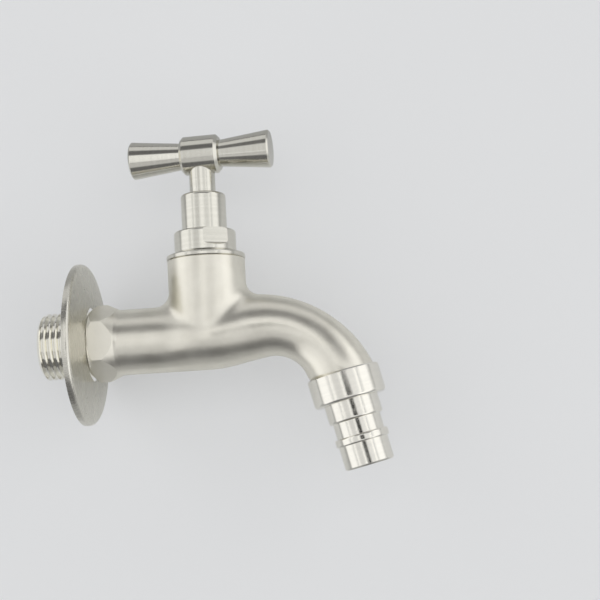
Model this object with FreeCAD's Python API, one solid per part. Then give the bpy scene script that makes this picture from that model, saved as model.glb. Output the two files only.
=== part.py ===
import FreeCAD, Part
import math
import os
from FreeCAD import Matrix, Placement, Rotation, Vector

# Garden tap with a rising spindle, in millimetres, closed.
# The origin is the centre of the inlet's open end. +X runs along the inlet towards the spout and +Z
# along the valve axis towards the handle.

# Inlet
inlet_thread_diameter = 20.955
inlet_thread_pitch = 1.814
inlet_thread_depth = 1.162
inlet_thread_crest = 0.3
inlet_thread_length = 12.6
inlet_thread_chamfer = 1.0
inlet_neck_length = 3.2
inlet_bore = 15.0

# Spanner hexagon on the body, with a turned chamfer on one side and a long turned slope on the other
hexagon_across_flats = 21.3
hexagon_corner_diameter = 24.4
hexagon_length = 4.6
hexagon_chamfer = 1.5
hexagon_slope_length = 4.1
hexagon_root_fillet = 2.5
hexagon_buried = 0.3

# Body
valve_distance = 52.5
tube_diameter = 20.6
belly_width = 24.9
belly_half_length = 15.0
boss_diameter = 24.4
boss_height = 24.1
boss_fillet = 4.5

# Spout, lying between a small inner arc and a large outer arc, both placed from the valve axis
inner_bend_radius = 10.2
inner_bend_reach = 20.15
inner_bend_drop = 17.5
outer_bend_radius = 41.0
outer_bend_reach = 13.5
outer_bend_drop = 28.5
bend_start_angle = -10.0
bend_end_angle = 66.0
spout_tail_length = 4.8
spout_end_diameter = 19.8
belly_sections = 12
bend_sections = 8
spout_overrun = 4.0
outlet_lean = 13.2
outlet_thread_diameter = 18.0
outlet_thread_length = 7.0
outlet_thread_chamfer = 1.1
outlet_bore = 13.0

# Waterway in the body: the inlet bore narrows to a channel under the bridge that carries the seat
channel_diameter = 14.0
chamber_floor = 2.4
bridge_thickness = 2.0
bridge_wall = 2.2
port_overrun = 0.5
seat_bore = 10.0
seat_lip_width = 1.3
seat_height = 4.3

# Fine thread of the bonnet and of the spout, and what all inner threads share
fine_thread_pitch = 1.5
fine_thread_depth = 0.92
fine_thread_crest = 0.2
bonnet_thread_diameter = 20.0
thread_clearance = 0.08
thread_engagement = 0.8

# Bonnet
flange_diameter = 24.8
flange_thickness = 1.6
flange_slope_height = 1.0
flange_edge_round = 0.5
flange_chamfer = 0.4
collar_diameter = 19.5
collar_height = 6.7
collar_edge_round = 0.8
collar_across_flats = 17.7
flat_lip_height = 1.0
flat_runout_radius = 1.6
flat_turn = 30.0
sleeve_diameter = 14.2
sleeve_height = 12.0
sleeve_edge_round = 1.0
bonnet_thread_end = 16.0
bonnet_bottom = 14.6
bonnet_foot_diameter = 18.0
bonnet_undercut_diameter = 18.0

# Round seals: the space is as wide as the seal's thickness and a clearance on every side
seal_clearance = 0.04
bonnet_seal_thickness = 1.3
bonnet_seal_diameter = 20.0
spindle_seal_thickness = 1.3
spindle_seal_low = 31.5
spindle_seal_high = 35.8

# Spindle and its drive thread
spindle_diameter = 8.2
guide_clearance = 0.06
drive_thread_diameter = 12.0
drive_thread_pitch = 2.0
drive_thread_depth = 1.1
drive_thread_crest = 0.6
drive_thread_start = 14.0
drive_thread_length = 8.0
drive_relief_length = 2.0
spindle_foot_diameter = 9.4
spindle_foot_round = 0.4
lift = 4.5
stop_washer_thickness = 0.5
stop_washer_diameter = 9.9
contact_gap = 0.05

# Valve under the spindle
seat_washer_diameter = 13.0
seat_washer_thickness = 3.0
valve_plate_diameter = 13.6
valve_plate_thickness = 2.0
valve_plate_round = 0.5
valve_stem_diameter = 5.0
valve_stem_length = 8.5
valve_stem_round = 0.6
valve_stem_clearance = 0.15
valve_stud_diameter = 4.0
nut_across_flats = 7.0
nut_height = 2.4
nut_clearance = 0.05

# Handle
handle_height = 58.4
handle_turned = 4.0
hub_diameter = 12.3
hub_length = 12.2
hub_chamfer = 0.9
bar_length = 45.2
bar_neck_diameter = 8.4
bar_end_diameter = 12.0
bar_end_chamfer = 0.5
spindle_depth_in_hub = 3.2
drive_square = 5.7
drive_square_length = 5.4
drive_square_clearance = 0.08

# Grub screw through the back of the hub onto the drive square
grub_screw_diameter = 3.0
grub_screw_chamfer = 0.3
grub_screw_socket = 1.5
grub_screw_socket_depth = 1.2
grub_screw_below_hub = 0.3
grub_screw_clearance = 0.06

# Hose nozzle, along the outlet axis
nozzle_gap = 0.1
nozzle_collar_diameter = 22.7
nozzle_collar_length = 9.0
nozzle_collar_chamfer = 0.4
nozzle_collar_round = 1.0
nozzle_shoulder_diameter = 17.0
nozzle_shoulder_length = 6.0
nozzle_shoulder_round = 0.8
nozzle_groove_diameter = 15.0
nozzle_groove_length = 4.7
nozzle_ridge_diameter = 16.8
nozzle_ridge_length = 2.5
nozzle_ridge_round = 0.6
nozzle_spigot_diameter = 15.5
nozzle_spigot_length = 7.3
nozzle_spigot_chamfer = 0.5
nozzle_bore = 11.6
nozzle_seal_thickness = 1.5
nozzle_seal_bore = 12.4
nozzle_relief_length = 1.5
nozzle_entry_chamfer = 1.0

# Wall rosette
rosette_diameter = 51.0
rosette_hole = 23.6
rosette_height = 3.6
rosette_sheet = 1.0
rosette_rim_height = 2.0
rosette_edge_round = 1.4
rosette_gap = 0.1

# How far a cut runs past the face it opens, how near an edge must lie to count as on a wall, and the
# share of a thread's crest that a groove's own turns leave between them
past = 1.0
on_wall = 0.01
turn_gap = 0.2

valve_axis = Vector(valve_distance, 0, 0)
neck_end = inlet_thread_length + inlet_neck_length
hexagon_end = neck_end + hexagon_length + hexagon_slope_length
port_radius = seat_bore / 2
chamber_radius = bonnet_thread_diameter / 2 - thread_engagement * fine_thread_depth
seal_space = bonnet_seal_thickness + 2 * seal_clearance
flange_bottom = boss_height + contact_gap
collar_bottom = flange_bottom + flange_thickness + flange_slope_height
sleeve_bottom = collar_bottom + collar_height
sleeve_top = sleeve_bottom + sleeve_height
washer_bottom = seat_height + contact_gap
plate_bottom = washer_bottom + seat_washer_thickness
plate_top = plate_bottom + valve_plate_thickness
shoulder_height = drive_thread_start + drive_thread_length
drive_shoulder = shoulder_height + stop_washer_thickness + lift + contact_gap
square_low = handle_height - spindle_depth_in_hub
square_high = square_low + drive_square_length
nozzle_floor = outlet_thread_length + nozzle_seal_thickness + 2 * contact_gap


def turned(corners):
    """A solid turned about Z, from corners of (radius, height) or (radius, height, edge round)."""
    points = [Vector(corner[0], 0, corner[1]) for corner in corners]
    edges = []
    first = None
    last = None
    for i, point in enumerate(points):
        start = point
        end = point
        if len(corners[i]) > 2:
            before = (points[i - 1] - point).normalize()
            after = (points[(i + 1) % len(points)] - point).normalize()
            half = before.getAngle(after) / 2
            start = point + before * (corners[i][2] / math.tan(half))
            end = point + after * (corners[i][2] / math.tan(half))
            middle = point + (before + after).normalize() * (corners[i][2] / math.sin(half) - corners[i][2])
        if last is None:
            first = start
        else:
            edges.append(Part.LineSegment(last, start).toShape())
        if len(corners[i]) > 2:
            edges.append(Part.Arc(start, middle, end).toShape())
        last = end
    edges.append(Part.LineSegment(last, first).toShape())
    return Part.Face(Part.Wire(edges)).revolve(Vector(0, 0, 0), Vector(0, 0, 1), 360)


def cylinder(radius, low, high):
    return Part.makeCylinder(radius, high - low, Vector(0, 0, low))


def prism(sides, across_flats, low, high, turn=0.0):
    """A bar along Z with this many flats, the first facing -Y before the turn."""
    radius = across_flats / 2 / math.cos(math.pi / sides)
    corners = []
    for i in range(sides + 1):
        angle = math.radians(turn - 90) + math.pi / sides * (2 * i + 1)
        corners.append(Vector(radius * math.cos(angle), radius * math.sin(angle), low))
    return Part.Face(Part.makePolygon(corners)).extrude(Vector(0, 0, high - low))


def helical_groove(outer_radius, outer_width, inner_radius, inner_width, pitch, low, high):
    """A solid of four-sided section that climbs round Z in half turns, from low to about high."""
    section = Part.makePolygon([
        Vector(outer_radius, 0, -outer_width / 2),
        Vector(inner_radius, 0, -inner_width / 2),
        Vector(inner_radius, 0, inner_width / 2),
        Vector(outer_radius, 0, outer_width / 2),
        Vector(outer_radius, 0, -outer_width / 2)])
    halves = []
    for i in range(round(2 * (high - low) / pitch)):
        helix = Part.makeHelix(pitch, pitch / 2, outer_radius)
        half = Part.Wire(helix.Edges).makePipeShell([section], True, True)
        if half.Volume < 0:
            half.reverse()
        half.rotate(Vector(0, 0, 0), Vector(0, 0, 1), 180 * i)
        half.translate(Vector(0, 0, low + i * pitch / 2))
        halves.append(half)
    return halves[0].multiFuse(halves[1:])


def outer_thread_groove(diameter, depth, pitch, crest, low, high):
    """What is cut from a bar to leave an outer thread, whose crest stays on the bar's surface."""
    slope = (pitch - 2 * crest) / 2 / depth
    over = (1 - turn_gap) * crest / 2 / slope
    return helical_groove(diameter / 2 + over, pitch - crest + 2 * slope * over,
                          diameter / 2 - depth, crest, pitch, low, high)


def inner_thread_groove(diameter, depth, pitch, crest, low, high):
    """What is cut from a bore to take an outer thread of these sizes with the thread clearance."""
    slope = (pitch - 2 * crest) / 2 / depth
    width = crest + 2 * thread_clearance * (math.hypot(1, slope) - slope)
    reach = (pitch - turn_gap * crest - width) / 2 / slope
    outside = diameter / 2 + thread_clearance
    return helical_groove(outside, width, outside - reach, width + 2 * slope * reach, pitch, low, high)


def on_valve(shape, turn=0.0):
    shape.Placement = Placement(valve_axis, Rotation(Vector(0, 0, 1), turn)).multiply(shape.Placement)
    return shape


def out_of_hub(shape):
    """Lays a shape made along Z from the middle of the handle's hub out through its back."""
    turn = Rotation(Vector(0, 0, 1), -handle_turned).multiply(Rotation(Vector(1, 0, 0), -90))
    shape.Placement = Placement(valve_axis + Vector(0, 0, handle_height), turn).multiply(shape.Placement)
    return shape


def on_inlet(shape):
    """Lays a shape made along Z along the inlet, with its start at the open end."""
    shape.Placement = Placement(Vector(0, 0, 0), Rotation(Vector(0, 1, 0), 90)).multiply(shape.Placement)
    return shape


def on_outlet(shape):
    """Moves a shape made along Z onto the outlet axis, with its start at the spout's end."""
    start, heading = outlet_start()
    turn = Rotation(Vector(0, 1, 0), 90 - math.degrees(heading))
    shape.Placement = Placement(start, turn).multiply(shape.Placement)
    return shape


def section_wire(centre, heading, half_width, half_height):
    """An ellipse square to a heading in the XZ plane, with its half width along Y."""
    if half_width > half_height + on_wall:
        curve = Part.Ellipse(Vector(0, 0, 0), half_width, half_height)
    else:
        curve = Part.Circle(Vector(0, 0, 0), Vector(0, 0, 1), half_height)
    wire = Part.Wire([curve.toShape()])
    forward = Vector(math.cos(heading), 0, math.sin(heading))
    upward = Vector(math.sin(heading), 0, -math.cos(heading))
    wire.Placement = Placement(Matrix(
        0, upward.x, forward.x, centre.x,
        1, upward.y, forward.y, centre.y,
        0, upward.z, forward.z, centre.z,
        0, 0, 0, 1))
    return wire


def bend_station(angle):
    """Centre, radius and heading of the circle that touches both bend arcs at this angle."""
    inner = Vector(inner_bend_reach, 0, -inner_bend_drop)
    outer = Vector(outer_bend_reach, 0, -outer_bend_drop)
    apart = inner - outer
    outward = Vector(math.sin(math.radians(angle)), 0, math.cos(math.radians(angle)))
    total = inner_bend_radius + outer_bend_radius
    distance = (total ** 2 - apart.Length ** 2) / (2 * (total + apart.dot(outward)))
    centre = inner + outward * distance
    from_outer = centre - outer
    outer_angle = math.atan2(from_outer.x, from_outer.z)
    heading = -(math.radians(angle) + outer_angle) / 2
    return centre + valve_axis, distance - inner_bend_radius, heading


def outlet_start():
    """Where the spout's skin ends on the outlet axis, and the outlet's heading in the XZ plane."""
    centre, radius, heading = bend_station(bend_end_angle)
    start = centre + Vector(math.cos(heading), 0, math.sin(heading)) * spout_tail_length
    return start, math.radians(outlet_lean - 90)


def eased(start, end, start_slope, end_slope, part_way):
    """A cubic from start to end with a slope at each."""
    squared = part_way ** 2
    cubed = part_way ** 3
    return (start * (2 * cubed - 3 * squared + 1) + start_slope * (cubed - 2 * squared + part_way)
            + end * (3 * squared - 2 * cubed) + end_slope * (cubed - squared))


def belly_wires(first_x, steps):
    """Sections of the tube and of the belly under the boss, up to the start of the bend."""
    centre, radius, heading = bend_station(bend_start_angle)
    later_centre, later_radius, later_heading = bend_station(bend_start_angle + 1)
    run = centre.x - valve_distance
    narrowing = (later_radius - radius) / (later_centre - centre).Length * run
    wires = []
    for i in range(steps):
        x = first_x + (centre.x - first_x) * i / steps
        part_way = max((x - valve_distance) / run, 0.0)
        height = eased(0, centre.z, 0, math.tan(heading) * run, part_way)
        half_height = eased(tube_diameter / 2, radius, 0, narrowing, part_way)
        half_width = half_height
        if abs(x - valve_distance) < belly_half_length:
            swell = math.cos(math.pi / 2 * (x - valve_distance) / belly_half_length) ** 2
            half_width += (belly_width - tube_diameter) / 2 * swell
        wires.append(section_wire(Vector(x, 0, height), 0, half_width, half_height))
    return wires


def spout_wires(steps, overrun):
    """Sections along the bend, at the spout's end and past it on the outlet axis."""
    wires = []
    for i in range(steps + 1):
        angle = bend_start_angle + (bend_end_angle - bend_start_angle) * i / steps
        centre, radius, heading = bend_station(angle)
        wires.append(section_wire(centre, heading, radius, radius))
    start, heading = outlet_start()
    end_radius = spout_end_diameter / 2
    for distance in (0, overrun):
        centre = start + Vector(math.cos(heading), 0, math.sin(heading)) * distance
        wires.append(section_wire(centre, heading, end_radius, end_radius))
    return wires


def is_boss_joint(edge):
    """Whether an edge lies on the boss's wall, below its top and not upright."""
    span = edge.LastParameter - edge.FirstParameter
    places = [edge.valueAt(edge.FirstParameter + span * part / 4) for part in range(5)]
    off = max(abs(math.hypot(place.x - valve_distance, place.y) - boss_diameter / 2) for place in places)
    upright = edge.BoundBox.XLength + edge.BoundBox.YLength < on_wall
    return off < on_wall and not upright and edge.BoundBox.ZMax < boss_height - on_wall


def is_hexagon_root(edge):
    """Whether an edge runs round the tube where the hexagon's slope ends."""
    box = edge.BoundBox
    return (box.XLength < hexagon_buried and box.XMin > hexagon_end - hexagon_slope_length / 2
            and box.XMax < hexagon_end + hexagon_slope_length / 2)


def spanner_hexagon():
    """The hexagon with its chamfer and its slope, which ends a little way inside the tube."""
    corner_radius = hexagon_corner_diameter / 2
    tube_radius = tube_diameter / 2
    slope = (corner_radius - tube_radius) / hexagon_slope_length
    last = hexagon_end + hexagon_buried
    blank = turned([
        (0, neck_end), (corner_radius - hexagon_chamfer, neck_end),
        (corner_radius, neck_end + hexagon_chamfer), (corner_radius, neck_end + hexagon_length),
        (tube_radius - slope * hexagon_buried, last), (0, last)])
    return on_inlet(blank.common(prism(6, hexagon_across_flats, neck_end - past, last + past)))


def outer_skin():
    """The cast outside: hexagon, tube, belly, spout and boss, with soft fillets where they meet."""
    wires = belly_wires(neck_end + hexagon_length, belly_sections) + spout_wires(bend_sections, spout_overrun)
    skin = Part.makeLoft(wires, True)
    skin = skin.cut(on_outlet(cylinder(spout_end_diameter, 0, 2 * spout_overrun)))
    skin = skin.fuse(on_valve(cylinder(boss_diameter / 2, 0, boss_height)))
    skin = skin.makeFillet(boss_fillet, [edge for edge in skin.Edges if is_boss_joint(edge)])
    skin = skin.fuse(spanner_hexagon())
    return skin.makeFillet(hexagon_root_fillet, [edge for edge in skin.Edges if is_hexagon_root(edge)])


def inlet_end():
    """The threaded inlet with its plain neck, which starts inside the hexagon."""
    radius = inlet_thread_diameter / 2
    last = neck_end + hexagon_buried
    stub = turned([
        (0, 0), (radius - inlet_thread_chamfer, 0), (radius, inlet_thread_chamfer), (radius, last), (0, last)])
    groove = outer_thread_groove(inlet_thread_diameter, inlet_thread_depth, inlet_thread_pitch,
                                 inlet_thread_crest, -inlet_thread_pitch, inlet_thread_length)
    return on_inlet(stub.cut(groove))


def outlet_end():
    """The threaded end of the spout, inside the hose nozzle's collar."""
    radius = outlet_thread_diameter / 2
    stub = turned([
        (0, -past), (radius, -past), (radius, outlet_thread_length - outlet_thread_chamfer),
        (radius - outlet_thread_chamfer, outlet_thread_length), (0, outlet_thread_length)])
    groove = outer_thread_groove(
        outlet_thread_diameter, fine_thread_depth, fine_thread_pitch, fine_thread_crest,
        -fine_thread_pitch, outlet_thread_length + fine_thread_pitch)
    return on_outlet(stub.cut(groove))


def inlet_waterway():
    """The inlet bore, which dives under the bridge below the seat, and the seat's port."""
    end_x = valve_distance + port_radius + port_overrun
    step_x = valve_distance - chamber_radius - bridge_wall
    bridge_bottom = chamber_floor - bridge_thickness
    bore = on_inlet(cylinder(inlet_bore / 2, -past, step_x))
    channel = on_inlet(cylinder(channel_diameter / 2, step_x - past, end_x))
    corner = Vector(step_x - past, -inlet_bore / 2, bridge_bottom)
    above = Part.makeBox(end_x, inlet_bore, inlet_bore, corner)
    port = on_valve(cylinder(port_radius, bridge_bottom - past, seat_height + past))
    return bore.fuse(channel.cut(above)).fuse(port)


def valve_chamber():
    """The chamber round the seat, with the bonnet's thread and the seal's space at its mouth."""
    chamber = cylinder(chamber_radius, chamber_floor, boss_height + past)
    chamber = chamber.cut(cylinder(port_radius + seat_lip_width, chamber_floor - past, seat_height))
    thread = inner_thread_groove(
        bonnet_thread_diameter, fine_thread_depth, fine_thread_pitch, fine_thread_crest,
        bonnet_thread_end - fine_thread_pitch, boss_height)
    mouth_floor = boss_height + contact_gap - seal_space
    mouth = cylinder((bonnet_seal_diameter + seal_space) / 2, mouth_floor, boss_height + past)
    relief_radius = bonnet_thread_diameter / 2 + 2 * thread_clearance
    relief = cylinder(relief_radius, mouth_floor - fine_thread_pitch, boss_height)
    return on_valve(chamber.fuse(thread).fuse(relief).fuse(mouth))


def outlet_waterway():
    """The spout's hollow: a level bore from the chamber, a round bend and the outlet bore."""
    start_x = valve_distance + port_radius + port_overrun + bridge_wall
    start_z = bend_station(bend_start_angle)[0].z
    end, heading = outlet_start()
    bend_radius = (start_z - end.z) / (1 - math.cos(heading))
    bend_x = end.x + bend_radius * math.sin(heading)
    radius = outlet_bore / 2
    level = Part.makeCylinder(radius, bend_x - start_x, Vector(start_x, 0, start_z), Vector(1, 0, 0))
    circle = Part.Wire([Part.Circle(Vector(bend_x, 0, start_z), Vector(1, 0, 0), radius).toShape()])
    centre = Vector(bend_x, 0, start_z - bend_radius)
    bend = Part.Face(circle).revolve(centre, Vector(0, 1, 0), -math.degrees(heading))
    return level.fuse(bend).fuse(on_outlet(cylinder(radius, 0, outlet_thread_length + past)))


def tap_body():
    body = outer_skin().fuse(inlet_end()).fuse(outlet_end())
    return body.cut(inlet_waterway()).cut(valve_chamber()).cut(outlet_waterway())


def milled_flat(turn):
    """What a cutter with a rounded corner takes off the collar for one spanner flat."""
    low = collar_bottom + flat_lip_height
    near = collar_across_flats / 2
    size = collar_diameter
    block = Part.makeBox(2 * size, size, sleeve_bottom + past - low, Vector(-size, near, low))
    edge = [e for e in block.Edges if e.BoundBox.ZMax < low + on_wall and e.BoundBox.YMax < near + on_wall]
    block = block.makeFillet(flat_runout_radius, edge)
    block.rotate(Vector(0, 0, 0), Vector(0, 0, 1), turn)
    return block


def bonnet():
    thread_radius = bonnet_thread_diameter / 2
    foot = bonnet_foot_diameter / 2
    neck_bottom = flange_bottom - seal_space
    blank = turned([
        (0, bonnet_bottom), (foot, bonnet_bottom), (foot, bonnet_thread_end),
        (thread_radius, bonnet_thread_end + thread_radius - foot), (thread_radius, neck_bottom),
        (bonnet_undercut_diameter / 2, neck_bottom), (bonnet_undercut_diameter / 2, flange_bottom),
        (flange_diameter / 2 - flange_chamfer, flange_bottom),
        (flange_diameter / 2, flange_bottom + flange_chamfer),
        (flange_diameter / 2, flange_bottom + flange_thickness, flange_edge_round),
        (collar_diameter / 2, collar_bottom), (collar_diameter / 2, sleeve_bottom, collar_edge_round),
        (sleeve_diameter / 2, sleeve_bottom), (sleeve_diameter / 2, sleeve_top, sleeve_edge_round),
        (0, sleeve_top)])
    blank = blank.cut(outer_thread_groove(
        bonnet_thread_diameter, fine_thread_depth, fine_thread_pitch, fine_thread_crest,
        bonnet_thread_end - fine_thread_pitch / 2, neck_bottom))
    for turn in (flat_turn, flat_turn + 180):
        blank = blank.cut(milled_flat(turn))
    drive_radius = drive_thread_diameter / 2
    guide_radius = spindle_diameter / 2 + guide_clearance
    blank = blank.cut(cylinder(guide_radius, bonnet_bottom - past, sleeve_top + past))
    drive_bore = drive_radius - thread_engagement * drive_thread_depth
    blank = blank.cut(cylinder(drive_bore, bonnet_bottom - past, drive_shoulder))
    relief_radius = drive_radius + 2 * thread_clearance
    blank = blank.cut(cylinder(relief_radius, drive_shoulder - drive_relief_length, drive_shoulder))
    groove_start = drive_thread_start - drive_thread_pitch
    groove = inner_thread_groove(
        drive_thread_diameter, drive_thread_depth, drive_thread_pitch, drive_thread_crest,
        groove_start - drive_thread_pitch / 2, drive_shoulder - drive_relief_length / 2)
    return on_valve(blank.cut(groove))


def bonnet_seal():
    middle = flange_bottom - seal_space / 2
    return on_valve(Part.makeTorus(bonnet_seal_diameter / 2, bonnet_seal_thickness / 2, Vector(0, 0, middle)))


def spindle_seal_radius():
    """The mean radius of a spindle seal, which just clears the bonnet's guide bore."""
    return spindle_diameter / 2 + guide_clearance - seal_clearance / 2 - spindle_seal_thickness / 2


def spindle_seal(height):
    return on_valve(Part.makeTorus(spindle_seal_radius(), spindle_seal_thickness / 2, Vector(0, 0, height)))


def spindle():
    radius = spindle_diameter / 2
    drive_radius = drive_thread_diameter / 2
    bottom = plate_top + contact_gap
    edge = drive_thread_depth / 2
    stem = turned([
        (0, bottom), (spindle_foot_diameter / 2, bottom, spindle_foot_round),
        (spindle_foot_diameter / 2, drive_thread_start - edge), (drive_radius, drive_thread_start),
        (drive_radius, shoulder_height - edge), (drive_radius - edge, shoulder_height),
        (radius, shoulder_height), (radius, square_low), (0, square_low)])
    stem = stem.cut(outer_thread_groove(
        drive_thread_diameter, drive_thread_depth, drive_thread_pitch, drive_thread_crest,
        drive_thread_start - drive_thread_pitch, shoulder_height + drive_thread_pitch))
    stem = stem.fuse(prism(4, drive_square, square_low - past, square_high, -handle_turned))
    half_space = spindle_seal_thickness / 2 + seal_clearance
    groove_radius = spindle_seal_radius() - half_space
    for height in (spindle_seal_low, spindle_seal_high):
        groove = cylinder(radius + past, height - half_space, height + half_space)
        stem = stem.cut(groove.cut(cylinder(groove_radius, height - half_space, height + half_space)))
    stem_hole = cylinder(valve_stem_diameter / 2 + valve_stem_clearance, bottom - past,
                         plate_top + valve_stem_length + 2 * valve_stem_clearance)
    return on_valve(stem.cut(stem_hole))


def stop_washer():
    washer = cylinder(stop_washer_diameter / 2, shoulder_height, shoulder_height + stop_washer_thickness)
    hole = cylinder(spindle_diameter / 2 + contact_gap, shoulder_height - past, sleeve_top)
    return on_valve(washer.cut(hole))


def jumper_valve():
    stem = valve_stem_diameter / 2
    stud = valve_stud_diameter / 2
    stud_bottom = washer_bottom - nut_height - 2 * nut_clearance - contact_gap
    return on_valve(turned([
        (0, stud_bottom), (stud, stud_bottom), (stud, plate_bottom), (valve_plate_diameter / 2, plate_bottom),
        (valve_plate_diameter / 2, plate_top, valve_plate_round), (stem, plate_top),
        (stem, plate_top + valve_stem_length, valve_stem_round), (0, plate_top + valve_stem_length)]))


def seat_washer():
    washer = cylinder(seat_washer_diameter / 2, washer_bottom, plate_bottom)
    hole = cylinder(valve_stud_diameter / 2 + contact_gap, washer_bottom - past, plate_top)
    return on_valve(washer.cut(hole))


def washer_nut():
    top = washer_bottom - nut_clearance
    bottom = top - nut_height
    flat = nut_across_flats / 2
    corner = flat / math.cos(math.pi / 6)
    nut = turned([(0, bottom), (flat, bottom), (corner, bottom + corner - flat), (corner, top), (0, top)])
    nut = nut.common(prism(6, nut_across_flats, bottom - past, top + past))
    return on_valve(nut.cut(cylinder(valve_stud_diameter / 2 + contact_gap, bottom - past, top + past)))


def handle_crossbar():
    hub = hub_diameter / 2
    neck = bar_neck_diameter / 2
    end = bar_end_diameter / 2
    half_hub = hub_length / 2
    half_bar = bar_length / 2
    side = [(hub, 0), (hub, half_hub - hub_chamfer), (hub - hub_chamfer, half_hub), (neck, half_hub),
            (end, half_bar - bar_end_chamfer), (end - bar_end_chamfer, half_bar)]
    other_side = [(radius, -along) for radius, along in reversed(side[1:])]
    bar = turned([(0, -half_bar)] + other_side + side[1:] + [(0, half_bar)])
    bar.rotate(Vector(0, 0, 0), Vector(0, 1, 0), 90)
    bar.rotate(Vector(0, 0, 0), Vector(0, 0, 1), -handle_turned)
    bar.translate(Vector(0, 0, handle_height))
    bar = bar.cut(cylinder(spindle_diameter / 2 + contact_gap, 0, square_low + contact_gap))
    square = drive_square + 2 * drive_square_clearance
    bar = on_valve(bar.cut(prism(4, square, square_low - past, square_high + contact_gap, -handle_turned)))
    return bar.cut(out_of_hub(cylinder(grub_screw_diameter / 2 + grub_screw_clearance, 0, hub_diameter)))


def grub_screw():
    radius = grub_screw_diameter / 2
    tip = drive_square / 2 + contact_gap
    top = hub_diameter / 2 - grub_screw_below_hub
    chamfer = grub_screw_chamfer
    screw = turned([(0, tip), (radius - chamfer, tip), (radius, tip + chamfer), (radius, top - chamfer),
                    (radius - chamfer, top), (0, top)])
    return out_of_hub(screw.cut(prism(6, grub_screw_socket, top - grub_screw_socket_depth, top + past)))


def hose_nozzle():
    collar_end = nozzle_gap + nozzle_collar_length
    shoulder_end = collar_end + nozzle_shoulder_length
    groove_end = shoulder_end + nozzle_groove_length
    ridge_end = groove_end + nozzle_ridge_length
    spigot_end = ridge_end + nozzle_spigot_length
    collar = nozzle_collar_diameter / 2
    shoulder = nozzle_shoulder_diameter / 2
    groove = nozzle_groove_diameter / 2
    ridge = nozzle_ridge_diameter / 2
    spigot = nozzle_spigot_diameter / 2
    blank = turned([
        (0, nozzle_gap), (collar - nozzle_collar_chamfer, nozzle_gap),
        (collar, nozzle_gap + nozzle_collar_chamfer), (collar, collar_end, nozzle_collar_round),
        (shoulder, collar_end), (shoulder, shoulder_end, nozzle_shoulder_round), (groove, shoulder_end),
        (groove, groove_end), (ridge, groove_end, nozzle_ridge_round), (ridge, ridge_end, nozzle_ridge_round),
        (spigot, ridge_end), (spigot, spigot_end - nozzle_spigot_chamfer),
        (spigot - nozzle_spigot_chamfer, spigot_end), (0, spigot_end)])
    thread_radius = outlet_thread_diameter / 2
    thread_bore = thread_radius - thread_engagement * fine_thread_depth
    relief = thread_radius + 2 * thread_clearance
    relief_low = nozzle_floor - nozzle_relief_length
    bore = nozzle_bore / 2
    blank = blank.cut(turned([
        (0, -past), (thread_bore + nozzle_entry_chamfer + nozzle_gap + past, -past),
        (thread_bore, nozzle_gap + nozzle_entry_chamfer), (thread_bore, relief_low), (relief, relief_low),
        (relief, nozzle_floor), (bore, nozzle_floor), (bore, spigot_end + past),
        (0, spigot_end + past)]))
    thread = inner_thread_groove(
        outlet_thread_diameter, fine_thread_depth, fine_thread_pitch, fine_thread_crest,
        -fine_thread_pitch / 2, nozzle_floor - nozzle_relief_length / 2)
    return on_outlet(blank.cut(thread))


def nozzle_seal():
    low = outlet_thread_length + contact_gap
    outside = outlet_thread_diameter / 2 - fine_thread_depth
    washer = cylinder(outside, low, low + nozzle_seal_thickness)
    return on_outlet(washer.cut(cylinder(nozzle_seal_bore / 2, low - past, nozzle_floor + past)))


def wall_rosette():
    """A pressed sheet disc whose hollow side faces the wall."""
    rim = rosette_diameter / 2
    hole = rosette_hole / 2
    top = rosette_height
    bend = rosette_edge_round
    slope = (rosette_height - rosette_rim_height) / (rim - hole)
    rosette = turned([
        (hole, top - rosette_sheet),
        (rim - rosette_sheet, rosette_rim_height - rosette_sheet, bend - rosette_sheet / 2),
        (rim - rosette_sheet, 0), (rim, 0), (rim, rosette_rim_height + slope * rosette_sheet, bend),
        (hole, top)])
    rosette.translate(Vector(0, 0, -rosette_height))
    rosette = on_inlet(rosette)
    rosette.translate(Vector(neck_end - rosette_gap, 0, 0))
    return rosette


nodes = {
    "tap_body": tap_body(),
    "bonnet": bonnet(),
    "bonnet_seal": bonnet_seal(),
    "spindle": spindle(),
    "lower_spindle_seal": spindle_seal(spindle_seal_low),
    "upper_spindle_seal": spindle_seal(spindle_seal_high),
    "stop_washer": stop_washer(),
    "jumper_valve": jumper_valve(),
    "seat_washer": seat_washer(),
    "washer_nut": washer_nut(),
    "handle_crossbar": handle_crossbar(),
    "handle_screw": grub_screw(),
    "hose_nozzle": hose_nozzle(),
    "nozzle_seal": nozzle_seal(),
    "wall_rosette": wall_rosette()}

os.makedirs("parts", exist_ok=True)
for name, shape in nodes.items():
    print(name, shape.isValid(), len(shape.Solids), round(shape.Volume, 1))
    shape.exportStep("parts/" + name + ".step")
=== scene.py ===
import bpy
import math
from mathutils import Matrix, Vector

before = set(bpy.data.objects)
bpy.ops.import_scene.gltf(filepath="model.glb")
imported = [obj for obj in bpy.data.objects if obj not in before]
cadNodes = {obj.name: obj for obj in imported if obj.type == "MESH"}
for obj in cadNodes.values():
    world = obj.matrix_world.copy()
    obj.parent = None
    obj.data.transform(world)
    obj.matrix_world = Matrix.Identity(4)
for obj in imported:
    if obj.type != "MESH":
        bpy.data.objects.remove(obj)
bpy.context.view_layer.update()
print("frame loaded:", len(cadNodes), "nodes")

mmPerMetre = 1000.0
colourA, colourB, colourOut = 6, 7, 2  # the Mix node repeats its socket names, so these go by number
vectorA, vectorB, vectorOut = 4, 5, 1


def addNode(tree, kind, inputs=None, **settings):
    node = tree.nodes.new(kind)
    for name, value in settings.items():
        setattr(node, name, value)
    for name, value in (inputs or {}).items():
        if isinstance(value, bpy.types.NodeSocket):
            tree.links.new(value, node.inputs[name])
        else:
            node.inputs[name].default_value = value
    return node


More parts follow.
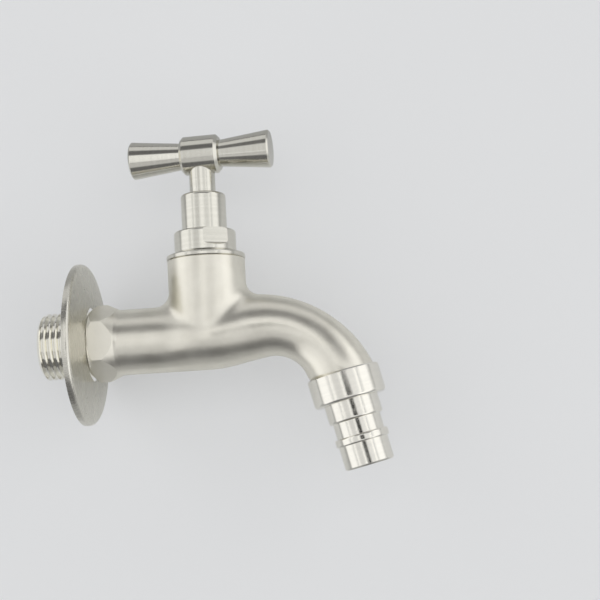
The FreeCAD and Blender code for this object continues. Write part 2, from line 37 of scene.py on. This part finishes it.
def addMath(tree, operation, first, second=0.0):
    return addNode(tree, "ShaderNodeMath", {0: first, 1: second}, operation=operation).outputs[0]


def remap(tree, value, fromRange, toRange=(0.0, 1.0)):
    node = addNode(tree, "ShaderNodeMapRange", {
        "Value": value, "From Min": fromRange[0], "From Max": fromRange[1],
        "To Min": toRange[0], "To Max": toRange[1]})
    return node.outputs["Result"]


def objectPlace(tree):
    return addNode(tree, "ShaderNodeTexCoord").outputs["Object"]


def mixColours(tree, mask, first, second):
    node = addNode(tree, "ShaderNodeMix", {"Factor": mask}, data_type="RGBA")
    for i, colour in ((colourA, first), (colourB, second)):
        if isinstance(colour, bpy.types.NodeSocket):
            tree.links.new(colour, node.inputs[i])
        else:
            node.inputs[i].default_value = (*colour, 1)
    return node.outputs[colourOut]


def newGroup(name, inputs, outputs):
    group = bpy.data.node_groups.new(name, "ShaderNodeTree")
    for socketName, kind, value in inputs:
        socket = group.interface.new_socket(socketName, in_out="INPUT", socket_type=kind)
        socket.default_value = value
    for socketName in outputs:
        group.interface.new_socket(socketName, in_out="OUTPUT", socket_type="NodeSocketFloat")
    start = group.nodes.new("NodeGroupInput")
    end = group.nodes.new("NodeGroupOutput")
    return group, start.outputs, end.inputs


# Rings left by the lathe across an axis, with broad tone bands
turning = {"wobbleScale": 90.0, "wobbleDetail": 2.0, "wobbleMm": 0.05, "fineDetail": 4.0, "fineRoughness": 0.7,
           "bandsPerMm": 0.9, "bandDetail": 3.0}


def makeTurningMarks():
    group, given, result = newGroup("turningMarks", [
        ("Axis", "NodeSocketVector", (0, 0, 1)), ("Lines per mm", "NodeSocketFloat", 8.0)], ["Height", "Tone"])
    place = objectPlace(group)
    along = addNode(group, "ShaderNodeVectorMath", {0: place, 1: given["Axis"]}, operation="DOT_PRODUCT")
    inMm = addMath(group, "MULTIPLY", along.outputs["Value"], mmPerMetre)
    wobble = addNode(group, "ShaderNodeTexNoise", {
        "Vector": place, "Scale": turning["wobbleScale"], "Detail": turning["wobbleDetail"]})
    shifted = addMath(group, "ADD", inMm, addMath(group, "MULTIPLY", wobble.outputs[0], turning["wobbleMm"]))
    fine = addNode(group, "ShaderNodeTexNoise", {
        "W": addMath(group, "MULTIPLY", shifted, given["Lines per mm"]), "Scale": 1.0,
        "Detail": turning["fineDetail"], "Roughness": turning["fineRoughness"]}, noise_dimensions="1D")
    broad = addNode(group, "ShaderNodeTexNoise", {
        "W": inMm, "Scale": turning["bandsPerMm"], "Detail": turning["bandDetail"]}, noise_dimensions="1D")
    group.links.new(fine.outputs[0], result["Height"])
    group.links.new(addMath(group, "MULTIPLY", broad.outputs[0], fine.outputs[0]), result["Tone"])
    return group


# Matt grain of a blasted or cast surface, with small pits
grain = {"detail": 3.0, "roughness": 0.6, "pitsPerGrain": 0.25, "pitEdge": (0.05, 0.18),
         "cloudScale": 160.0, "cloudDetail": 5.0}


def makeCastGrain():
    group, given, result = newGroup("castGrain", [("Grains per mm", "NodeSocketFloat", 5.0)],
                                    ["Height", "Tone", "Pits"])
    place = objectPlace(group)
    scale = addMath(group, "MULTIPLY", given["Grains per mm"], mmPerMetre)
    fine = addNode(group, "ShaderNodeTexNoise", {
        "Vector": place, "Scale": scale, "Detail": grain["detail"], "Roughness": grain["roughness"]})
    pits = addNode(group, "ShaderNodeTexVoronoi", {
        "Vector": place, "Scale": addMath(group, "MULTIPLY", scale, grain["pitsPerGrain"])})
    cloud = addNode(group, "ShaderNodeTexNoise", {
        "Vector": place, "Scale": grain["cloudScale"], "Detail": grain["cloudDetail"]})
    group.links.new(fine.outputs[0], result["Height"])
    group.links.new(cloud.outputs[0], result["Tone"])
    group.links.new(remap(group, pits.outputs["Distance"], grain["pitEdge"], (1.0, 0.0)), result["Pits"])
    return group


# Traces of handling: smudges and faint fine scratches
traces = {"detail": 6.0, "roughness": 0.65, "distortion": 0.6, "smudgeEdge": (0.45, 0.7),
          "scratchTurn": (0.4, 0.9, 0.3), "scratchScale": (2600.0, 260.0, 900.0), "scratchDetail": 2.0,
          "scratchEdge": (0.66, 0.72)}


def makeHandling():
    group, given, result = newGroup("handling", [("Size mm", "NodeSocketFloat", 9.0)], ["Smudge", "Scratch"])
    place = objectPlace(group)
    smudge = addNode(group, "ShaderNodeTexNoise", {
        "Vector": place, "Scale": addMath(group, "DIVIDE", mmPerMetre, given["Size mm"]),
        "Detail": traces["detail"], "Roughness": traces["roughness"], "Distortion": traces["distortion"]})
    stretched = addNode(group, "ShaderNodeMapping", {
        "Vector": place, "Rotation": traces["scratchTurn"], "Scale": traces["scratchScale"]})
    scratch = addNode(group, "ShaderNodeTexNoise", {
        "Vector": stretched.outputs[0], "Scale": 1.0, "Detail": traces["scratchDetail"]})
    group.links.new(remap(group, smudge.outputs[0], traces["smudgeEdge"]), result["Smudge"])
    group.links.new(remap(group, scratch.outputs[0], traces["scratchEdge"]), result["Scratch"])
    return group


groups = {"turningMarks": makeTurningMarks(), "castGrain": makeCastGrain(), "handling": makeHandling()}
print("shader groups ready")


def newMaterial(name):
    material = bpy.data.materials.new(name)
    material.use_nodes = True
    tree = material.node_tree
    tree.nodes.clear()
    shader = tree.nodes.new("ShaderNodeBsdfPrincipled")
    output = tree.nodes.new("ShaderNodeOutputMaterial")
    tree.links.new(shader.outputs[0], output.inputs[0])
    return material, tree, shader


def useGroup(tree, name, inputs):
    node = tree.nodes.new("ShaderNodeGroup")
    node.node_tree = groups[name]
    for socketName, value in inputs.items():
        node.inputs[socketName].default_value = value
    return node.outputs


# What all metals share: where the tone's range begins and ends, and how smudges and scratches roughen it
metalShares = {"toneRange": (0.2, 0.6), "smudgeRough": 0.15, "scratchRough": 0.03, "threadFade": 0.0003,
               "softCore": 0.7, "softSamples": 8}


# Near one place the light flows softly over a crease, as on a casting
def softNormal(tree, look):
    soft = addNode(tree, "ShaderNodeBevel", {"Radius": look["softReach"]}, samples=metalShares["softSamples"])
    away = addNode(tree, "ShaderNodeVectorMath", {0: objectPlace(tree), 1: look["softPlace"]},
                   operation="DISTANCE")
    core = look["softSize"] * metalShares["softCore"]
    near = remap(tree, away.outputs["Value"], (look["softSize"], core))
    plain = addNode(tree, "ShaderNodeNewGeometry").outputs["Normal"]
    blend = addNode(tree, "ShaderNodeMix", {"Factor": near, vectorA: plain, vectorB: soft.outputs[0]},
                    data_type="VECTOR")
    return blend.outputs[vectorOut]


# Metal: turned where its look has an axis, blasted where it has none
def makeMetal(name, look):
    material, tree, shader = newMaterial(name)
    if "axis" in look:
        marks = useGroup(tree, "turningMarks", {"Axis": look["axis"], "Lines per mm": look["linesPerMm"]})
        height = marks["Height"]
    else:
        marks = useGroup(tree, "castGrain", {"Grains per mm": look["grainsPerMm"]})
        depth = addMath(tree, "MULTIPLY", marks["Pits"], look["pitDepth"])
        height = addMath(tree, "SUBTRACT", marks["Height"], depth)
    handling = useGroup(tree, "handling", {"Size mm": look["smudgeSize"]})
    smudge = addMath(tree, "MULTIPLY", handling["Smudge"], look["smudge"])
    spread = remap(tree, marks["Tone"], metalShares["toneRange"])
    colour = mixColours(tree, spread, look["darkColour"], look["lightColour"])
    colour = mixColours(tree, smudge, colour, look["smudgeColour"])
    rough = remap(tree, marks["Tone"], metalShares["toneRange"], look["roughness"])
    rough = addMath(tree, "ADD", rough, addMath(tree, "MULTIPLY", smudge, metalShares["smudgeRough"]))
    scratch = addMath(tree, "MULTIPLY", handling["Scratch"], metalShares["scratchRough"])
    rough = addMath(tree, "ADD", rough, scratch)
    if "threadEnd" in look:  # the inlet's thread is turned, and so lighter and smoother than the cast body
        along = addNode(tree, "ShaderNodeSeparateXYZ", {0: objectPlace(tree)}).outputs["X"]
        turned = remap(tree, along, (look["threadEnd"], look["threadEnd"] - metalShares["threadFade"]))
        colour = mixColours(tree, turned, colour, look["threadColour"])
        rough = addMath(tree, "SUBTRACT", rough, addMath(tree, "MULTIPLY", turned, look["threadSmoother"]))
    bump = addNode(tree, "ShaderNodeBump", {
        "Height": height, "Strength": look["bump"], "Distance": look["bumpDistance"]})
    if "softReach" in look:
        tree.links.new(softNormal(tree, look), bump.inputs["Normal"])
    tree.links.new(colour, shader.inputs["Base Color"])
    tree.links.new(rough, shader.inputs["Roughness"])
    tree.links.new(bump.outputs[0], shader.inputs["Normal"])
    shader.inputs["Metallic"].default_value = 1.0
    return material


outletLean = math.radians(13.2)
handleTurn = math.radians(-4)
valveAxis = (0, 0, 1)
rosetteGrain = (0, 1, 0)
outletAxis = (math.sin(outletLean), 0, -math.cos(outletLean))
barAxis = (math.cos(handleTurn), math.sin(handleTurn), 0)

satinBody = {"darkColour": (0.74, 0.715, 0.63), "lightColour": (0.83, 0.805, 0.72), "roughness": (0.27, 0.33),
             "grainsPerMm": 5.0, "pitDepth": 0.3, "bump": 0.25, "bumpDistance": 0.00002,
             "smudgeSize": 12.0, "smudge": 0.15, "smudgeColour": (0.70, 0.68, 0.60),
             "softReach": 0.0035, "softPlace": (0.0525, 0.0, 0.006), "softSize": 0.021,
             "threadEnd": 0.0157, "threadColour": (0.88, 0.865, 0.80), "threadSmoother": 0.2}
satinTurned = {"darkColour": (0.68, 0.665, 0.60), "lightColour": (0.76, 0.745, 0.68), "roughness": (0.14, 0.20),
               "axis": valveAxis, "linesPerMm": 5.0, "bump": 0.45, "bumpDistance": 0.00002,
               "smudgeSize": 8.0, "smudge": 0.12, "smudgeColour": (0.62, 0.60, 0.55)}
satinBar = dict(satinTurned, axis=barAxis)
brightNozzle = dict(satinTurned, darkColour=(0.82, 0.80, 0.735), lightColour=(0.88, 0.86, 0.79),
                    roughness=(0.12, 0.17), axis=outletAxis)
rosetteSheet = dict(satinTurned, axis=rosetteGrain, linesPerMm=6.0, bump=0.3, roughness=(0.26, 0.34))
bareBrass = dict(satinTurned, darkColour=(0.66, 0.47, 0.20), lightColour=(0.78, 0.58, 0.28), linesPerMm=6.0)
screwSteel = dict(satinTurned, darkColour=(0.50, 0.50, 0.50), lightColour=(0.60, 0.60, 0.60),
                  roughness=(0.25, 0.35))


# Rubber and other soft moulded rings, with some dust
def makeRubber(name, look):
    material, tree, shader = newMaterial(name)
    moulded = useGroup(tree, "castGrain", {"Grains per mm": look["grainsPerMm"]})
    handling = useGroup(tree, "handling", {"Size mm": look["dustSize"]})
    dust = addMath(tree, "MULTIPLY", handling["Smudge"], look["dust"])
    spread = remap(tree, moulded["Tone"], look["toneRange"])
    colour = mixColours(tree, spread, look["darkColour"], look["lightColour"])
    colour = mixColours(tree, dust, colour, look["dustColour"])
    rough = remap(tree, moulded["Tone"], look["toneRange"], look["roughness"])
    bump = addNode(tree, "ShaderNodeBump", {
        "Height": moulded["Height"], "Strength": look["bump"], "Distance": look["bumpDistance"]})
    tree.links.new(colour, shader.inputs["Base Color"])
    tree.links.new(rough, shader.inputs["Roughness"])
    tree.links.new(bump.outputs[0], shader.inputs["Normal"])
    return material


blackRubber = {"darkColour": (0.012, 0.012, 0.013), "lightColour": (0.028, 0.028, 0.029),
               "toneRange": (0.3, 0.7), "roughness": (0.42, 0.58), "grainsPerMm": 6.0, "bump": 0.2,
               "bumpDistance": 0.00005, "dustSize": 4.0, "dust": 0.4, "dustColour": (0.07, 0.068, 0.064)}
slipWasher = dict(blackRubber, darkColour=(0.70, 0.69, 0.66), lightColour=(0.80, 0.79, 0.76),
                  roughness=(0.34, 0.46), grainsPerMm=4.0, dustColour=(0.60, 0.59, 0.56))

materials = {
    "tap_body": makeMetal("satinBody", satinBody),
    "bonnet": makeMetal("satinTurned", satinTurned),
    "handle_crossbar": makeMetal("satinBar", satinBar),
    "hose_nozzle": makeMetal("brightNozzle", brightNozzle),
    "wall_rosette": makeMetal("rosetteSheet", rosetteSheet),
    "jumper_valve": makeMetal("bareBrass", bareBrass),
    "handle_screw": makeMetal("screwSteel", screwSteel),
    "bonnet_seal": makeRubber("blackRubber", blackRubber),
    "stop_washer": makeRubber("slipWasher", slipWasher)}
sameAs = {"spindle": "bonnet", "washer_nut": "jumper_valve", "seat_washer": "bonnet_seal",
          "lower_spindle_seal": "bonnet_seal", "upper_spindle_seal": "bonnet_seal",
          "nozzle_seal": "bonnet_seal"}
for nodeName, node in cadNodes.items():
    node.data.materials.clear()
    node.data.materials.append(materials[sameAs.get(nodeName, nodeName)])
print("materials ready")


def addSheet(name, corners, material):
    mesh = bpy.data.meshes.new(name)
    mesh.from_pydata(corners, [], [(0, 1, 2, 3)])
    mesh.materials.append(material)
    sheet = bpy.data.objects.new(name, mesh)
    bpy.context.scene.collection.objects.link(sheet)
    return sheet


# The pale paper behind the tap, seen from its front only. The camera sees a share of it as plain glow, which
# keeps the shadow on it pale, and mirrors see painted shade on it far above and below the tap.
backdrop = {"place": (0.05, 0.0258, 0), "reach": 1.6, "colour": (0.89, 0.898, 0.90), "darker": 0.99,
            "grainScale": 700.0, "grainDetail": 3.0, "roughness": 0.9, "specular": 0.1,
            "glow": (0.76, 0.77, 0.785), "glowShare": 0.40,
            "shade": (0.08, 0.08, 0.08), "shadeFrom": (0.05, 0.075), "shadeShare": 0.42}


def makePaper():
    material, tree, shader = newMaterial("palePaper")
    place = objectPlace(tree)
    fibres = addNode(tree, "ShaderNodeTexNoise", {
        "Vector": place, "Scale": backdrop["grainScale"], "Detail": backdrop["grainDetail"]})
    dark = tuple(value * backdrop["darker"] for value in backdrop["colour"])
    colour = mixColours(tree, fibres.outputs[0], dark, backdrop["colour"])
    tree.links.new(colour, shader.inputs["Base Color"])
    shader.inputs["Roughness"].default_value = backdrop["roughness"]
    shader.inputs["Specular IOR Level"].default_value = backdrop["specular"]
    ray = addNode(tree, "ShaderNodeLightPath").outputs
    height = addNode(tree, "ShaderNodeSeparateXYZ", {0: place}).outputs["Z"]
    shade = remap(tree, addMath(tree, "ABSOLUTE", height), backdrop["shadeFrom"], (0.0, backdrop["shadeShare"]))
    share = addMath(tree, "ADD", addMath(tree, "MULTIPLY", ray["Is Camera Ray"], backdrop["glowShare"]),
                    addMath(tree, "MULTIPLY", ray["Is Glossy Ray"], shade))
    glow = addNode(tree, "ShaderNodeEmission", {
        "Color": mixColours(tree, ray["Is Glossy Ray"], backdrop["glow"], backdrop["shade"])})
    front = addNode(tree, "ShaderNodeMixShader", {0: share, 1: shader.outputs[0], 2: glow.outputs[0]})
    back = addNode(tree, "ShaderNodeBsdfTransparent")
    fromBehind = addNode(tree, "ShaderNodeNewGeometry").outputs["Backfacing"]
    pick = addNode(tree, "ShaderNodeMixShader", {0: fromBehind, 1: front.outputs[0], 2: back.outputs[0]})
    output = next(node for node in tree.nodes if node.type == "OUTPUT_MATERIAL")
    tree.links.new(pick.outputs[0], output.inputs[0])
    return material


def makeBackdrop():
    reach = backdrop["reach"]
    corners = [(-reach, 0, -reach), (reach, 0, -reach), (reach, 0, reach), (-reach, 0, reach)]
    sheet = addSheet("backdrop", corners, makePaper())
    sheet.location = backdrop["place"]
    return sheet


makeBackdrop()


# Soft panels round the tap: bearing and height of each in degrees as seen from it, 0 and 0 being the
# camera's side, then width and height in degrees, brightness and the share of the width that fades
panels = {
    "front": {"bearing": -1, "height": 3, "wide": 20, "tall": 46, "bright": 1.02, "soft": 0.3},
    "frontRight": {"bearing": 26, "height": 3, "wide": 34, "tall": 46, "bright": 0.76, "soft": 0.0},
    "frontLeft": {"bearing": -28, "height": 3, "wide": 34, "tall": 46, "bright": 0.62, "soft": 0.0},
    "frontLow": {"bearing": 8, "height": -37, "wide": 90, "tall": 30, "bright": 0.48, "soft": 0.0},
    "right": {"bearing": 67, "height": 0, "wide": 46, "tall": 90, "bright": 1.04, "soft": 0.5},
    "left": {"bearing": -71, "height": 0, "wide": 52, "tall": 90, "bright": 1.01, "soft": 0.5},
    "above": {"bearing": 8, "height": 73, "wide": 90, "tall": 30, "bright": 0.60, "soft": 0.0}}
rig = {"aim": (0.055, 0.0, 0.0), "distance": 1.0, "softSteps": 4, "stepApart": 0.01}


def halfSpan(distance, degrees):
    return distance * math.tan(math.radians(degrees) / 2)


# Puts an object out from the tap at a bearing and height, turned to face it
def placeAround(holder, spot, distance):
    bearing = math.radians(spot["bearing"])
    height = math.radians(spot["height"])
    outward = Vector((math.sin(bearing) * math.cos(height), -math.cos(bearing) * math.cos(height),
                      math.sin(height)))
    holder.location = Vector(rig["aim"]) + outward * distance
    holder.rotation_euler = (-outward).to_track_quat("-Z", "Y").to_euler()


def makePanel(name, panel, distance, wide, bright):
    lamp = bpy.data.lights.new(name, "AREA")
    lamp.shape = "RECTANGLE"
    lamp.size = 2 * halfSpan(distance, wide)
    lamp.size_y = 2 * halfSpan(distance, panel["tall"])
    lamp.energy = bright * math.pi * lamp.size * lamp.size_y
    holder = bpy.data.objects.new(name, lamp)
    placeAround(holder, panel, distance)
    holder.visible_camera = False
    bpy.context.scene.collection.objects.link(holder)


for panelName, panel in panels.items():
    steps = rig["softSteps"] if panel["soft"] > 0 else 1
    for step in range(steps):  # lamps of growing width, one behind the other, for a soft edge
        spread = 1 + panel["soft"] * ((2 * step + 1) / steps - 1)
        distance = rig["distance"] + rig["stepApart"] * step
        makePanel(panelName, panel, distance, panel["wide"] * spread, panel["bright"] / steps)


# The dark shape of the camera, which shows in mirrors and holds back the panels behind it
card = {"bearing": 10, "height": -3, "wide": 18, "tall": 12, "distance": 0.34, "colour": (0.02, 0.02, 0.02)}


def makeCard():
    material, tree, shader = newMaterial("darkCard")
    shader.inputs["Base Color"].default_value = (*card["colour"], 1)
    shader.inputs["Roughness"].default_value = 1.0
    shader.inputs["Specular IOR Level"].default_value = 0.0
    wide = halfSpan(card["distance"], card["wide"])
    tall = halfSpan(card["distance"], card["tall"])
    corners = [(-wide, -tall, 0), (wide, -tall, 0), (wide, tall, 0), (-wide, tall, 0)]
    holder = addSheet("card", corners, material)
    placeAround(holder, card, card["distance"])
    for kind in ("camera", "diffuse", "transmission", "volume_scatter"):
        setattr(holder, "visible_" + kind, False)
    return holder


makeCard()


# The room's own light, and what the camera sees where there is no paper
room = {"light": (0.16, 0.16, 0.164), "seen": (0.69, 0.70, 0.70)}


def makeRoom():
    world = bpy.data.worlds.new("room")
    world.use_nodes = True
    tree = world.node_tree
    tree.nodes.clear()
    light = addNode(tree, "ShaderNodeBackground", {"Color": (*room["light"], 1)})
    seen = addNode(tree, "ShaderNodeBackground", {"Color": (*room["seen"], 1)})
    toCamera = addNode(tree, "ShaderNodeLightPath").outputs["Is Camera Ray"]
    pick = addNode(tree, "ShaderNodeMixShader", {0: toCamera, 1: light.outputs[0], 2: seen.outputs[0]})
    output = addNode(tree, "ShaderNodeOutputWorld")
    tree.links.new(pick.outputs[0], output.inputs[0])
    bpy.context.scene.world = world


makeRoom()
print("light ready")


# Camera: place, the way it looks and its right hand, in the part's frame
view = {"place": (0.1094, -0.3711, -0.0370), "forward": (-0.0745, 0.9894, 0.1245),
        "right": (0.9949, 0.0822, -0.0578), "lens": 72.0, "sensor": 36.0, "nearest": 0.01}


def makeCamera():
    camera = bpy.data.cameras.new("camera")
    camera.lens = view["lens"]
    camera.sensor_width = view["sensor"]
    camera.clip_start = view["nearest"]
    holder = bpy.data.objects.new("camera", camera)
    forward = Vector(view["forward"]).normalized()
    right = Vector(view["right"])
    right = (right - forward * right.dot(forward)).normalized()
    up = right.cross(forward)
    turn = Matrix((right, up, -forward)).transposed().to_4x4()
    holder.matrix_world = Matrix.Translation(view["place"]) @ turn
    bpy.context.scene.collection.objects.link(holder)
    bpy.context.scene.camera = holder


makeCamera()
bpy.context.scene.view_settings.view_transform = "Standard"
print("camera ready")
